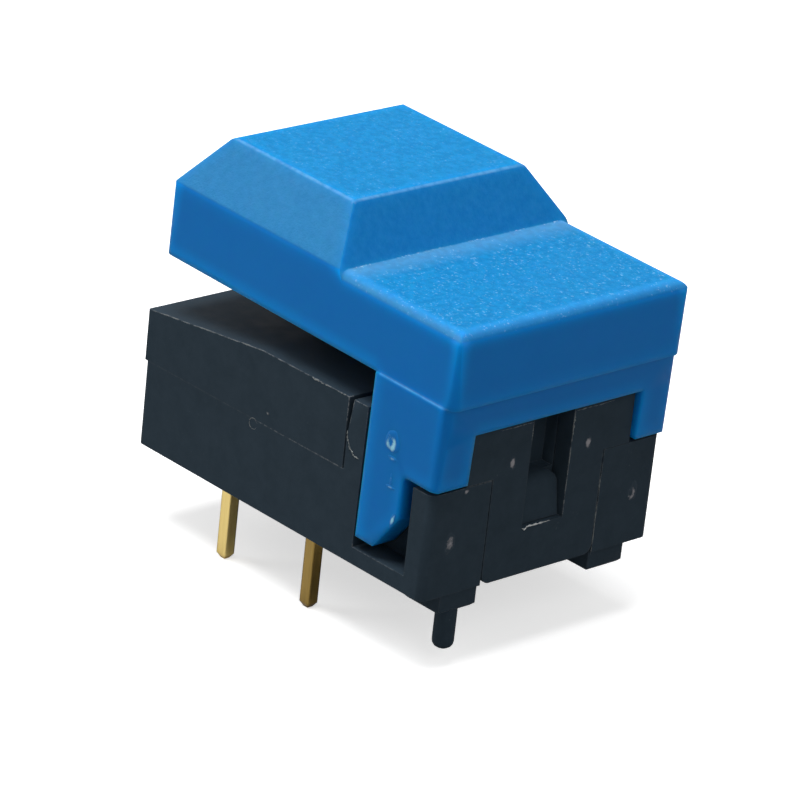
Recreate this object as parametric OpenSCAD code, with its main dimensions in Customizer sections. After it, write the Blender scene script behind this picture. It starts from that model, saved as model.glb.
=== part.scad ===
// Momentary push button switch with a hinged key, for a circuit board.
// Frame: the board's surface is z = 0, +Z points up, the length runs along X with the hinge end
// at +X, and the origin is midway between the housing's ends and sides.
// Heights marked "above the underside" count from the bottom of the base, which stands on its feet.

/* [Housing] */
// Length of the housing
body_l = 17.0; // [16:0.1:22]
// Width of the housing
body_w = 12.1; // [12:0.1:16]
// Height of the feet that hold the base off the board
standoff_h = 0.9; // [0.4:0.1:1.6]
// Height of the seam between base and cover, above the underside
seam_h = 3.6; // [3.2:0.1:4.2]
// Height of the cover's level top, above the underside
cover_h = 6.55; // [6.4:0.05:7.2]
// Height of the cover at its low far end, above the underside
cover_low_h = 5.75; // [5.2:0.05:6.3]
// Distance from the hinge end to the bend in the cover's top
cover_bend = 10.1; // [9:0.1:11.5]
// Radius of the base's upright corners
corner_r = 0.35; // [0.1:0.05:0.8]
// Radius of the cover's upright corners
cover_corner_r = 0.1; // [0.05:0.01:0.8]
// Wall of the base
base_wall = 0.65; // [0.5:0.05:0.65]
// Thickness of the tray's end walls beside the cheeks
tray_end_t = 0.28; // [0.2:0.02:0.6]
// Wall of the cover
cover_wall = 0.8; // [0.6:0.05:1]
// Thickness, height and depth below the seam of the cover's lip inside the tray
lip = [0.4, 1.3, 0.7];
// Distance of the hooks at the far end from the centre line, and half their width
hook_y = [3, 0.8];
// Reach and height of the hooks
hook = [0.3, 0.4];
// Thickness of the cover's roof
roof_t = 0.8; // [0.6:0.05:0.9]
// Thickness of the base's floor
floor_t = 1.2; // [0.9:0.05:1.3]
// Clearance between fitted mouldings
fit_gap = 0.05; // [0.02:0.01:0.1]
// Gap between the cover and the base's uprights and corner posts
cover_gap = 0.08; // [0.04:0.01:0.1]
// Clearance on each side of the cover's tongue and of the catch
tongue_gap = 0.1; // [0.05:0.01:0.15]

/* [Hinge] */
// Distance from the hinge end of the housing to the hinge line
hinge_inset = 2.35; // [2.2:0.05:2.6]
// Height of the hinge line, above the underside
hinge_h = 5.7; // [5.4:0.05:6]
// Diameter of the key's hinge bosses
boss_d = 1.6; // [1.2:0.1:1.8]
// Radial clearance of a boss in its bearing
boss_gap = 0.05; // [0.03:0.01:0.1]
// Thickness of the bearing cheeks
cheek_t = 1.0; // [0.8:0.05:1.2]
// Radius of a cheek's rounded top
cheek_r = 1.25; // [1.1:0.05:1.35]
// Upward tilt of the key at rest, in degrees
rest_tilt = 1.4; // [0.5:0.1:2]
// Clearance at the end of a boss
boss_end_gap = 0.1; // [0.05:0.01:0.2]
// Depth of the ramp above each bearing, and how far it reaches past the boss
snap_ramp = [0.55, 0.15];

/* [Front posts and tab] */
// Height of the corner posts, above the underside
post_h = 4.38; // [4:0.02:4.5]
// Gap between the posts and the cover's front wall above them
post_gap = 0.02; // [0.01:0.01:0.05]
// Thickness of the base's wall behind the tab
front_wall_t = 0.9; // [0.6:0.05:1]
// Width of the cover's front tab
tab_w = 5.84; // [4.5:0.02:6]
// Radius of the tab's lower corners
tab_r = 0.4; // [0.1:0.05:0.8]
// Clearance between the cover's front wall and each of the key's legs
brow_gap = 0.12; // [0.05:0.01:0.3]
// Width of the window in the tab
window_w = 2.16; // [1.5:0.02:3]
// Height of the window's sill, above the underside
window_sill = 1.97; // [1.5:0.01:2.4]
// Height of the catch in the window
catch_h = 1.8; // [1.4:0.05:2.6]
// How far the catch stands out of the base's front wall, at its foot and at its top
catch_out = [0.65, 0.36];
// Radius of the catch's rounded top edge and corners
catch_r = [0.45, 0.5];
// Depth of the pocket in the base's front wall above the catch
pocket_d = 0.6; // [0.3:0.05:0.65]
// How far the wall behind the window reaches past it on each side
pocket_wall_over = 0.4; // [0.3:0.05:0.8]

/* [Key] */
// How far the key's legs stand out past each side of the housing
key_side_over = 0.05; // [0:0.01:0.15]
// Setback of the skirt's sides above the legs
skirt_side_step = 0.06; // [0.02:0.01:0.1]
// How far the key stands out past the hinge end of the housing
key_front_over = 0.5; // [0.4:0.05:0.8]
// How far the key's far end stays inside the housing's far end
key_back_inset = 0.55; // [0.4:0.05:1.2]
// Height of the skirt's lower edge, above the underside
skirt_h = 8.07; // [7.9:0.01:8.3]
// Height of the flat finger rest, above the underside
rest_h = 11.08; // [10.6:0.02:11.6]
// Height of the raised pad, above the underside
pad_h = 13.2; // [12.4:0.1:14]
// Length of the pad's top
pad_l = 7.1; // [5:0.1:8]
// Width of the pad's top
pad_w = 8.86; // [7:0.02:10]
// How far the pad's far slope leans in
pad_back_run = 1.45; // [0.8:0.05:2]
// How far the pad's near slope leans in
pad_front_run = 1.27; // [0.8:0.01:2]
// How far the skirt's ends and its sides lean in over its height
key_draft = [0.13, 0.07];
// Radius of the rim around the finger rest
rim_r = 0.45; // [0.15:0.05:0.5]
// Radius of the rim around the raised pad
pad_rim_r = 0.3; // [0.1:0.05:0.4]
// Radius of the key's upright corners
key_r = 0.45; // [0.2:0.05:0.8]
// Wall of the key
key_wall = 1.0; // [0.7:0.05:1.1]
// Thickness of the key's top
key_roof = 0.9; // [0.7:0.05:1.2]

/* [Key legs] */
// Setback of the legs' front below the skirt
leg_front_step = 0.2; // [0.05:0.01:0.25]
// Height of the legs' lower edges, above the underside
leg_h = 4.63; // [4.6:0.01:4.9]
// Height of the front band's lower edge, above the underside
band_h = 6.73; // [6.7:0.01:7]
// Width of a leg across the front
leg_w = 1.68; // [1.4:0.02:1.7]
// How far the front of the legs leans in towards their lower edges
leg_lean = 0.1; // [0:0.01:0.2]
// Thickness of the lugs
lug_t = 1.17; // [0.9:0.01:1.2]
// Clearance between a lug and its bearing cheek
lug_gap = 0.1; // [0.05:0.01:0.2]
// Width of a lug along the housing
lug_w = 2.15; // [1.9:0.05:2.3]
// Distance from the hinge line to a lug's rear edge
lug_back = 1.38; // [1.2:0.02:1.42]
// Height of a lug's tip, above the underside
lug_tip_h = 1.2; // [1.1:0.05:2]
// Width and height of the bevel at a lug's tip
lug_bevel = [1.16, 1.6];
// Radius of the fillet between a lug and its leg
lug_fillet = 0.3; // [0.1:0.05:0.4]
// Bevel at the end of a hinge boss
boss_bevel = 0.2; // [0.1:0.05:0.3]

/* [Lug slots] */
// Distance from the hinge line to the slot's rear face
slot_back = 1.65; // [1.6:0.01:1.8]
// Distance from the hinge line to the slot's front face
slot_front = 1.3; // [1.25:0.01:1.4]
// Height of the slot's floor, above the underside
slot_floor = 0.7; // [0.5:0.05:0.9]
// Width of the uprights behind the slots
upright_w = 0.92; // [0.8:0.02:1]
// How far the top of an upright leans over its slot
upright_lean = 0.1; // [0:0.01:0.12]
// Width and height of the bevel at the top of an upright
upright_bevel = [0.22, 1.55];

/* [Contacts] */
// Distance between the pins along a row
pin_pitch = 5.08; // [5.08, 7.62]
// Distance between the two rows of pins
row_pitch = 10.16; // [10.16]
// Side of a square pin
pin_w = 0.5; // [0.4:0.05:0.6]
// Width and height of the taper at a pin's tip
pin_taper = [0.13, 0.2];
// Clearance on each side of a pin in its hole
pin_gap = 0.02; // [0:0.01:0.05]
// Length of the pins below the board's surface
pin_l = 2.48; // [2:0.02:3.5]
// Offset of the contacts from the middle of the housing, along X
contact_x = -1.16; // [-2:0.02:0]
// Distance of the contact points from the centre line
contact_y = 4.0; // [3.8:0.05:4.1]
// Travel of the moving contacts from rest to full press
travel = 1.15; // [0.8:0.01:1.2]
// Side of a fixed contact pad
fixed_pad_w = 1.1; // [0.8:0.05:1.2]
// Thickness of a fixed contact pad
pad_t = 0.3; // [0.2:0.05:0.4]
// Diameter of a moving contact's dome
dome_d = 0.7; // [0.5:0.05:0.8]
// Height of the contact domes
dome_h = 0.1; // [0.05:0.01:0.15]
// Gap left between the contacts at full press
closed_gap = 0.04; // [0.02:0.01:0.1]
// Width of a contact bridge
bridge_w = 0.9; // [0.7:0.05:1]
// Thickness of a contact bridge
bridge_t = 0.2; // [0.1:0.05:0.25]
// Drop of a bridge's arms below its middle
bridge_drop = 0.25; // [0.1:0.05:0.3]
// How far a bridge reaches past its contact domes
bridge_end = 0.56; // [0.4:0.02:0.7]
// Distance from the carrier to where a bridge's arms turn down
bridge_knee = 0.15; // [0.1:0.05:0.3]
// How much narrower a fixed contact's dome is than its pad
pad_margin = 0.2; // [0.1:0.05:0.4]

/* [Plunger] */
// Length of the plunger's carrier along X
carrier_l = 2.6; // [2.2:0.1:3]
// Wall of the carrier beyond a contact spring
carrier_wall = 0.17; // [0.1:0.01:0.3]
// Gap between the carrier and the cover's roof at rest
carrier_gap = 0.1; // [0.05:0.01:0.2]
// Thickness of the carrier above and below a bridge's window
sill_t = 0.35; // [0.25:0.05:0.4]
// Side of the plunger's square stem
stem_w = 3.6; // [3.2:0.1:4]
// Radius of the stem's upright corners
stem_r = 0.2; // [0.1:0.05:0.4]
// Height of the stem's top, above the underside
stem_top = 7.75; // [7.5:0.05:7.9]
// Clearance of the stem in the cover's guide
stem_gap = 0.08; // [0.05:0.01:0.15]
// Thickness of the stem above the return spring
stem_roof = 2.35; // [1.8:0.05:2.6]
// Gap between the key's pusher and the stem at rest
pusher_gap = 0.06; // [0.05:0.01:0.1]
// Radius of the pusher's rounded end
pusher_r = 0.8; // [0.5:0.05:1]
// Thickness of the pusher's rib
pusher_rib_t = 1.2; // [0.8:0.1:1.4]
// Setback of the pusher's ends from the sides of the stem
pusher_inset = 0.3; // [0.1:0.1:0.6]
// Half the length and half the thickness of the web across the pusher
pusher_web = [1.3, 0.5];

/* [Springs] */
// Outer diameter of the return spring
return_d = 2.4; // [2:0.1:2.4]
// Wire of the return spring
return_wire = 0.25; // [0.15:0.01:0.3]
// Turns of the return spring
return_turns = 7; // [5:1:8]
// Outer diameter of a contact spring
contact_spring_d = 0.96; // [0.8:0.02:1]
// Wire of a contact spring
contact_wire = 0.14; // [0.1:0.01:0.18]
// Turns of a contact spring
contact_turns = 5; // [4:1:6]
// Clearance around a spring in its seat, on the diameter
spring_room = 0.2; // [0.1:0.05:0.3]
// Height of the boss inside the return spring
spring_boss_h = 0.6; // [0.3:0.1:0.8]

/* [Feet and peg] */
// Length of the feet at the hinge end
foot_l = 2.0; // [1.2:0.1:2.4]
// Length of the feet at the far end
back_foot_l = 1.6; // [1:0.1:2.4]
// Setback of the feet from the housing's ends
foot_setback = 0.15; // [0.1:0.05:0.5]
// Inner and outer distance of the feet at the hinge end from the centre line
foot_y = [2.98, 4.87];
// Inner and outer distance of the feet at the far end from the centre line
back_foot_y = [2.5, 4.35];
// Bevel around the feet's lower faces
foot_bevel = 0.12; // [0.05:0.01:0.2]
// Diameter of the locating peg
peg_d = 0.86; // [0.8:0.02:1.1]
// Length of the locating peg below the board's surface
peg_l = 1.74; // [1.2:0.02:2.2]
// Rounding of the peg's end
peg_tip = 0.3; // [0.1:0.05:0.4]
// Distance from the hinge end to the peg's axis
peg_inset = 0.68; // [0.6:0.02:1]

/* [Hidden] */
$fn = 48;
// Overlap of joined shapes, and how far a cutter runs past what it cuts
eps = 0.01;
cut = 1;

// Ends of the housing, and the planes of the front wall
front_x = body_l / 2;
back_x = -body_l / 2;
front_wall_x = front_x - cover_wall - fit_gap;

// Hinge line, and the faces of lugs, cheeks and slots
hinge_x = front_x - hinge_inset;
lug_face = body_w / 2 + key_side_over;
lug_inner = lug_face - lug_t;
cheek_face = lug_inner - lug_gap;
cheek_inner = cheek_face - cheek_t;
slot_x0 = hinge_x - slot_back;
slot_x1 = hinge_x + slot_front;
upright_x0 = slot_x0 - upright_w;
cover_end_x = upright_x0 - cover_gap;
lip_x = back_x + base_wall + fit_gap;
boss_l = cheek_t - boss_end_gap;
tongue = cheek_inner - tongue_gap;

// Outline of the key, level
key_x0 = back_x + key_back_inset;
key_x1 = front_x + key_front_over;
key_half = lug_face - skirt_side_step;
pad_x0 = key_x0 + key_draft[0] + pad_back_run;
pad_x1 = pad_x0 + pad_l;
leg_span = 2 * (lug_face - leg_w);
brow_w = leg_span - 2 * brow_gap;

// Arm of the key on the plunger, and the levels of what the plunger lifts
lever = hinge_x - contact_x;
dome_top = floor_t + pad_t + dome_h;
bridge_z = dome_top + closed_gap + travel + dome_h + bridge_drop;
carrier_z = bridge_z - sill_t;
ceiling_h = cover_h - roof_t;
cover_slope = (cover_h - cover_low_h) / (body_l - cover_bend);
bend_x = front_x - cover_bend;
carrier_drop = cover_slope * max(0, bend_x - (contact_x - carrier_l / 2));
carrier_top = ceiling_h - carrier_drop - carrier_gap;
window_top = carrier_top - sill_t;
window_y = contact_spring_d + spring_room;
pocket_wall_y = window_w / 2 + pocket_wall_over;
carrier_w = 2 * contact_y + window_y + 2 * carrier_wall;
bore_d = return_d + spring_room;
bore_top = stem_top - stem_roof;
bridge_top = bridge_z + bridge_t;

// ---------------------------------------------------------------- shared shapes

// Stands the housing's parts on the feet
module on_feet() {
    translate([0, 0, standoff_h]) children();
}

// Mirrors a shape to both long sides
module both_sides() {
    children();
    mirror([0, 1, 0]) children();
}

// A box between two corners
module box(low, high) {
    translate(low) cube(high - low);
}

// An upright block with rounded corners
module rounded_block(low, high, r) {
    size = high - low;
    translate(low) linear_extrude(size[2]) rounded_rect(size[0], size[1], r);
}

module rounded_rect(l, w, r) {
    translate([r, 0]) square([l - 2 * r, w]);
    translate([0, r]) square([l, w - 2 * r]);
    for (x = [r, l - r], y = [r, w - r])
        translate([x, y]) circle(r);
}

// A side outline drawn in X and Z, extruded across Y from y0 to y1
module side_plate(outline, y0, y1) {
    translate([0, y1, 0]) rotate([90, 0, 0])
        linear_extrude(y1 - y0) polygon(outline);
}

// An end outline drawn in Y and Z, extruded along X from x0 to x1
module end_plate(outline, x0, x1) {
    translate([x0, 0, 0]) rotate([90, 0, 90])
        linear_extrude(x1 - x0) polygon(outline);
}

function unit(v) = v / norm(v);

// The arc that rounds a corner p between the directions u and v of its two edges
function corner_arc(p, u, v, r) =
    let (half = acos(u * v) / 2,
         centre = p + unit(u + v) * r / sin(half),
         from = p + u * r / tan(half) - centre,
         to = p + v * r / tan(half) - centre,
         a = atan2(from[1], from[0]),
         sweep = (atan2(to[1], to[0]) - a + 540) % 360 - 180,
         steps = max(2, ceil(abs(sweep) / 15)))
    [for (k = [0 : steps]) let (b = a + sweep * k / steps) centre + r * [cos(b), sin(b)]];

// An outline with each corner rounded by its own radius, or left as it is at 0
function rounded(points, radii) =
    let (n = len(points))
    [for (i = [0 : n - 1])
        let (p = points[i],
             u = unit(points[(i + n - 1) % n] - p),
             v = unit(points[(i + 1) % n] - p))
        each (radii[i] == 0 ? [p] : corner_arc(p, u, v, radii[i]))];

// A round bar along Y
module cross_bar(x, z, d, y0, y1) {
    translate([x, y1, z]) rotate([90, 0, 0]) cylinder(d = d, h = y1 - y0);
}

// Height along a coil whose end turns lie closed, for u from 0 to 1
function coil_rise(u, turns, dead) =
    let (t = u * turns,
         live = turns - 2 * dead)
    t < dead ? 0
    : t > turns - dead ? 1
    : (1 - cos(180 * (t - dead) / live)) / 2 * 0.25 + (t - dead) / live * 0.75;

// One ring of the wire's section at turn t of a coil
function coil_ring(t, turns, r, wire, h, sides) =
    let (u = t / turns,
         dead = 0.9,
         closed = wire * (min(t, dead) + max(0, t - turns + dead)),
         open = (h - wire - 2 * dead * wire) * coil_rise(u, turns, dead),
         z = wire / 2 + closed + open,
         a = 360 * t)
    [for (i = [0 : sides - 1])
        let (b = 360 * i / sides, d = r + wire / 2 * cos(b))
        [d * cos(a), d * sin(a), z + wire / 2 * sin(b)]];

// A compression spring of wire, standing on z = 0
module coil_spring(d, wire, turns, h, steps, sides) {
    n = turns * steps;
    rings = [for (k = [0 : n])
        coil_ring(k / steps, turns, (d - wire) / 2, wire, h, sides)];
    points = [for (ring = rings) each ring];
    walls = [for (k = [0 : n - 1], i = [0 : sides - 1])
        let (j = (i + 1) % sides, a = k * sides, b = (k + 1) * sides)
        each [[a + i, b + i, b + j], [a + i, b + j, a + j]]];
    caps = [[for (i = [0 : sides - 1]) i],
            [for (i = [sides - 1 : -1 : 0]) n * sides + i]];
    polyhedron(points, concat(walls, caps), convexity = 10);
}

// ---------------------------------------------------------------- base

module base() {
    color("#23282d") on_feet() difference() {
        union() {
            tray();
            both_sides() {
                cheek();
                upright();
                corner_post();
                foot(front_x - foot_setback - foot_l, foot_l, foot_y);
                foot(back_x + foot_setback, back_foot_l, back_foot_y);
            }
            difference() {
                front_wall();
                catch_pocket();
            }
            catch();
            locating_peg();
            spring_boss();
        }
        for (x = pin_xs(), y = [-1, 1]) pin_hole(x, y * row_pitch / 2);
        both_sides() cross_bar(hinge_x, hinge_h, boss_d + 2 * boss_gap,
                               cheek_inner - eps, cheek_face + eps);
        both_sides() lead_in();
    }
}

// The open tray under the cover, with the floor that runs on to the hinge end
module tray() {
    difference() {
        union() {
            rounded_block([back_x, -body_w / 2, 0],
                          [upright_x0 + corner_r, body_w / 2, seam_h], corner_r);
            box([upright_x0, -body_w / 2, 0], [front_wall_x, body_w / 2, slot_floor]);
            box([upright_x0, -cheek_face, 0], [front_wall_x, cheek_face, floor_t]);
        }
        box([back_x + base_wall, -body_w / 2 + base_wall, floor_t],
            [upright_x0 - tray_end_t, body_w / 2 - base_wall, seam_h + cut]);
        box([upright_x0 - cut, -cheek_inner, floor_t],
            [front_wall_x - front_wall_t, cheek_inner, seam_h + cut]);
        both_sides() hook_pocket();
    }
}

// The pocket in the far wall that a hook of the cover catches in
module hook_pocket() {
    z0 = seam_h - lip[2] - fit_gap;
    box([lip_x - 2 * fit_gap - hook[0], hook_y[0] - hook_y[1] - fit_gap, z0],
        [lip_x, hook_y[0] + hook_y[1] + fit_gap, z0 + hook[1] + 2 * fit_gap]);
}

// The wall beside a lug slot, with a rounded top that carries the hinge boss
module cheek() {
    box([upright_x0, cheek_inner, 0], [front_wall_x, cheek_face, post_h]);
    box([upright_x0, cheek_inner, post_h - eps], [hinge_x + cheek_r, cheek_face, hinge_h]);
    box([upright_x0, cheek_inner, hinge_h - eps], [hinge_x, cheek_face, cover_h]);
    cross_bar(hinge_x, hinge_h, 2 * cheek_r, cheek_inner, cheek_face);
}

// The full-height upright between the cover's end and a lug slot
module upright() {
    side_plate([[upright_x0, 0], [slot_x0, 0], [slot_x0 + upright_lean, cover_h],
                [upright_x0 + upright_bevel[0], cover_h],
                [upright_x0, cover_h - upright_bevel[1]]],
               cheek_inner, body_w / 2);
}

// A corner post beside the cover's tab
module corner_post() {
    y0 = tab_w / 2 + fit_gap;
    intersection() {
        box([slot_x1, y0, 0], [front_x, body_w / 2, post_h]);
        rounded_block([back_x, -body_w / 2, 0], [front_x, body_w / 2, post_h], corner_r);
    }
}

// The wall behind the cover's front tab
module front_wall() {
    box([front_wall_x - front_wall_t, -cheek_face, 0],
        [front_wall_x, cheek_face, post_h]);
    box([front_wall_x - front_wall_t, -tongue, 0],
        [front_wall_x, tongue, ceiling_h - fit_gap]);
    box([front_wall_x - front_wall_t, -pocket_wall_y, 0],
        [front_wall_x, pocket_wall_y, cover_h - fit_gap]);
}

// The pocket above the catch
module catch_pocket() {
    box([front_wall_x - pocket_d, -window_w / 2, window_sill + fit_gap + catch_h],
        [front_wall_x + eps, window_w / 2, cover_h]);
}

// The catch that holds the tab's window, leaning back to a rounded top
module catch() {
    z0 = window_sill + fit_gap;
    z1 = z0 + catch_h;
    half = window_w / 2 - tongue_gap;
    x0 = front_wall_x - front_wall_t / 2;
    intersection() {
        side_plate(rounded([[x0, z0], [front_wall_x + catch_out[0], z0],
                            [front_wall_x + catch_out[1], z1], [x0, z1]],
                           [0, 0, catch_r[0], 0]), -half, half);
        end_plate(rounded([[-half, z0], [half, z0], [half, z1], [-half, z1]],
                          [0, 0, catch_r[1], catch_r[1]]), x0, front_x);
    }
}

// A foot that stands on the board
module foot(x0, l, y) {
    x1 = x0 + l;
    low = -standoff_h;
    side = low + foot_bevel;
    intersection() {
        side_plate([[x0, eps], [x0, side], [x0 + foot_bevel, low],
                    [x1 - foot_bevel, low], [x1, side], [x1, eps]], y[0], y[1]);
        end_plate([[y[0], eps], [y[0], side], [y[0] + foot_bevel, low],
                   [y[1] - foot_bevel, low], [y[1], side], [y[1], eps]], x0, x1);
    }
}

// The round peg that places the switch on the board
module locating_peg() {
    end = -standoff_h - peg_l;
    r = peg_d / 2;
    rounding = [for (a = [0 : 22.5 : 90])
        [r - peg_tip + peg_tip * sin(a), end + peg_tip - peg_tip * cos(a)]];
    translate([front_x - peg_inset, -(foot_y[0] + foot_y[1]) / 2, 0]) rotate_extrude()
        polygon(concat([[0, end]], rounding, [[r, -standoff_h / 2], [0, -standoff_h / 2]]));
}

// The boss that centres the return spring
module spring_boss() {
    d = return_d - 2 * return_wire - spring_room;
    translate([contact_x, 0, floor_t - eps]) cylinder(d = d, h = spring_boss_h + eps);
}

// The slot that a terminal's pin is pressed through
module pin_hole(x, y) {
    half = pin_w / 2 + pin_gap;
    box([x - half, y - half, -cut], [x + half, y + half, floor_t + cut]);
}

// The sloped lead-in that spreads a lug as the key is snapped on
module lead_in() {
    half = boss_d / 2 + snap_ramp[1];
    top = hinge_h + cheek_r + eps;
    face = cheek_face + eps;
    end_plate([[face - snap_ramp[0], top], [face, top], [face, hinge_h + half]],
              hinge_x - half, hinge_x + half);
}

// ---------------------------------------------------------------- cover

module upper_cover() {
    color("#2a3036") on_feet() difference() {
        union() {
            intersection() {
                side_plate(cover_outline(), -body_w / 2, body_w / 2);
                cover_plan();
            }
            front_tab();
        }
        cover_hollow();
        stem_guide();
        window();
    }
    color("#2a3036") on_feet() both_sides() {
        side_lip();
        far_hook();
    }
}

// The lip that places the cover inside the tray
module side_lip() {
    y1 = body_w / 2 - base_wall - fit_gap;
    z0 = seam_h - lip[2];
    box([lip_x, y1 - lip[0], z0], [cover_end_x - cover_wall, y1, z0 + lip[1]]);
    box([lip_x, hook_y[0] - hook_y[1], z0], [lip_x + lip[0], y1, z0 + lip[1]]);
}

// The hook that holds the cover's far end down
module far_hook() {
    z0 = seam_h - lip[2];
    box([lip_x - fit_gap - hook[0], hook_y[0] - hook_y[1], z0],
        [lip_x + eps, hook_y[0] + hook_y[1], z0 + hook[1]]);
}

// The cover's side outline, without its front tab
function cover_outline() =
    [[back_x, seam_h], [front_x, seam_h], [front_x, cover_h],
     [bend_x, cover_h], [back_x, cover_low_h]];

// The cover's outline from above: a wide shell, a tongue between the cheeks and a brow in front
module cover_plan() {
    brow_z = post_h + post_gap;
    difference() {
        rounded_block([back_x, -body_w / 2, 0], [front_x, body_w / 2, cover_h + cut],
                      cover_corner_r);
        box([cover_end_x, -body_w, -cut], [front_x + cut, body_w, cover_h + 2 * cut]);
    }
    box([cover_end_x - eps, -tongue, brow_z], [front_x, tongue, cover_h + cut]);
    box([front_x - cover_wall, -brow_w / 2, brow_z],
        [front_x, brow_w / 2, cover_h + cut]);
}

// The tab that hangs from the brow to the underside, between the corner posts
module front_tab() {
    half = tab_w / 2;
    translate([front_x - cover_wall, 0, 0]) rotate([90, 0, 90])
        linear_extrude(cover_wall) {
            translate([-half, tab_r]) square([tab_w, post_h + post_gap + eps - tab_r]);
            translate([-half + tab_r, 0]) square([tab_w - 2 * tab_r, seam_h]);
            for (side = [-1, 1]) translate([side * (half - tab_r), tab_r]) circle(tab_r);
        }
}

// The room under the roof
module cover_hollow() {
    x0 = back_x + cover_wall;
    x1 = cover_end_x - cover_wall;
    wide = body_w / 2 - cover_wall;
    low = cover_low_h - roof_t;
    inner_x = front_x - cover_wall;
    ceiling = [[x0, seam_h - cut], [inner_x, seam_h - cut], [inner_x, ceiling_h],
               [bend_x, ceiling_h], [x0, low + cover_slope * cover_wall]];
    intersection() {
        side_plate(ceiling, -wide, wide);
        union() {
            box([x0, -wide, 0], [x1, wide, cover_h]);
            box([x1 - cut, -tongue - eps, 0], [inner_x + eps, tongue + eps, cover_h]);
        }
    }
}

// The square guide for the plunger's stem
module stem_guide() {
    half = stem_w / 2 + stem_gap;
    box([contact_x - half, -half, seam_h], [contact_x + half, half, cover_h + cut]);
}

// The window, open at the top, that the base's catch snaps into, and the notch for the wall behind
module window() {
    notch_y = pocket_wall_y + tongue_gap;
    box([front_x - cover_wall - eps, -window_w / 2, window_sill],
        [front_x + cut, window_w / 2, cover_h + cut]);
    box([front_wall_x - front_wall_t - tongue_gap, -notch_y, ceiling_h - cut],
        [front_x - cover_wall, notch_y, cover_h + cut]);
}

// ---------------------------------------------------------------- key

module key_cap() {
    color("#1b74c4") on_feet() translate([hinge_x, 0, hinge_h]) rotate([0, rest_tilt, 0])
        translate([-hinge_x, 0, -hinge_h]) {
            difference() {
                union() {
                    key_shell();
                    key_legs();
                }
                key_hollow();
                leg_relief();
            }
            both_sides() hinge_boss();
            pusher();
        }
}

// The skirt and the finger rest, with rounded rims
module rest_block() {
    x0 = key_x0 + rim_r;
    y1 = key_half - key_draft[1];
    intersection() {
        side_plate(rounded([[x0, skirt_h], [key_x1, skirt_h],
                            [key_x1 - key_draft[0], rest_h], [x0, rest_h]],
                           [0, 0, rim_r, 0]), -key_half, key_half);
        end_plate(rounded([[-key_half, skirt_h], [key_half, skirt_h], [y1, rest_h], [-y1, rest_h]],
                          [0, 0, rim_r, rim_r]), key_x0, key_x1);
    }
}

// The raised pad, which runs down to the skirt's edge at the sides and the far end
module pad_block() {
    foot_run = pad_front_run * (1 + rim_r / (pad_h - rest_h));
    x2 = pad_x1 + foot_run;
    y1 = key_half - key_draft[1];
    y2 = pad_w / 2;
    intersection() {
        side_plate(rounded([[key_x0, skirt_h], [x2, skirt_h], [x2, rest_h - rim_r],
                            [pad_x1, pad_h], [pad_x0, pad_h], [key_x0 + key_draft[0], rest_h]],
                           [0, 0, 0, pad_rim_r, pad_rim_r, rim_r]), -key_half, key_half);
        end_plate(rounded([[-key_half, skirt_h], [key_half, skirt_h], [y1, rest_h],
                           [y2, pad_h], [-y2, pad_h], [-y1, rest_h]],
                          [0, 0, rim_r, pad_rim_r, pad_rim_r, rim_r]), key_x0, key_x1);
    }
}

// The skirt, the finger rest and the raised pad
module key_shell() {
    intersection() {
        union() {
            rest_block();
            pad_block();
        }
        rounded_block([key_x0, -key_half, 0], [key_x1, key_half, pad_h + cut], key_r);
    }
}

// The hollow under the key
module key_hollow() {
    x0 = key_x0 + key_wall;
    x1 = front_x - cover_wall;
    z0 = skirt_h - cut;
    top = rest_h - key_roof;
    pad = pad_h - key_roof;
    y1 = key_half - key_wall;
    y2 = (pad_w - key_wall) / 2;
    intersection() {
        side_plate([[x0, z0], [x1, z0], [x1, top],
                    [pad_x1 + pad_front_run - key_wall / 2, top], [pad_x1 - key_wall / 2, pad],
                    [pad_x0 + key_wall / 2, pad], [x0 + key_draft[0], top]], -y1, y1);
        end_plate([[-y1, z0], [y1, z0], [y1 - key_draft[1], top], [y2, pad], [-y2, pad],
                   [-y1 + key_draft[1], top]], x0, x1);
    }
}

// The legs, the lugs and the band between the legs
module key_legs() {
    leg_x = key_x1 - leg_front_step;
    toe = leg_x - leg_lean;
    lug_x0 = hinge_x - lug_back;
    lug_x1 = lug_x0 + lug_w;
    top = skirt_h + eps;
    outline = [[lug_x0, top], [lug_x0, lug_tip_h], [lug_x1 - lug_bevel[0], lug_tip_h],
               [lug_x1, lug_tip_h + lug_bevel[1]], [lug_x1, leg_h], [toe, leg_h],
               [leg_x, top]];
    intersection() {
        side_plate(rounded(outline, [0, 0, 0, 0, lug_fillet, 0, 0]), -lug_face, lug_face);
        rounded_block([key_x0, -lug_face, 0], [leg_x, lug_face, top], key_r);
        union() {
            both_sides() box([lug_x0 - cut, lug_inner, 0], [key_x1, lug_face, top]);
            box([front_x - cover_wall, -lug_face, 0], [key_x1, lug_face, top]);
        }
    }
}

// The gap between the legs, over the cover's front wall
module leg_relief() {
    box([front_x - cover_wall - cut, -leg_span / 2, 0],
        [key_x1 + cut, leg_span / 2, band_h]);
}

// A boss on a lug's inner face, with a bevelled end
module hinge_boss() {
    shoulder = lug_inner - boss_l + boss_bevel;
    cross_bar(hinge_x, hinge_h, boss_d, shoulder, lug_inner + eps);
    translate([hinge_x, shoulder + eps, hinge_h]) rotate([90, 0, 0])
        cylinder(d1 = boss_d, d2 = boss_d - 2 * boss_bevel, h = boss_bevel);
}

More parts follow.
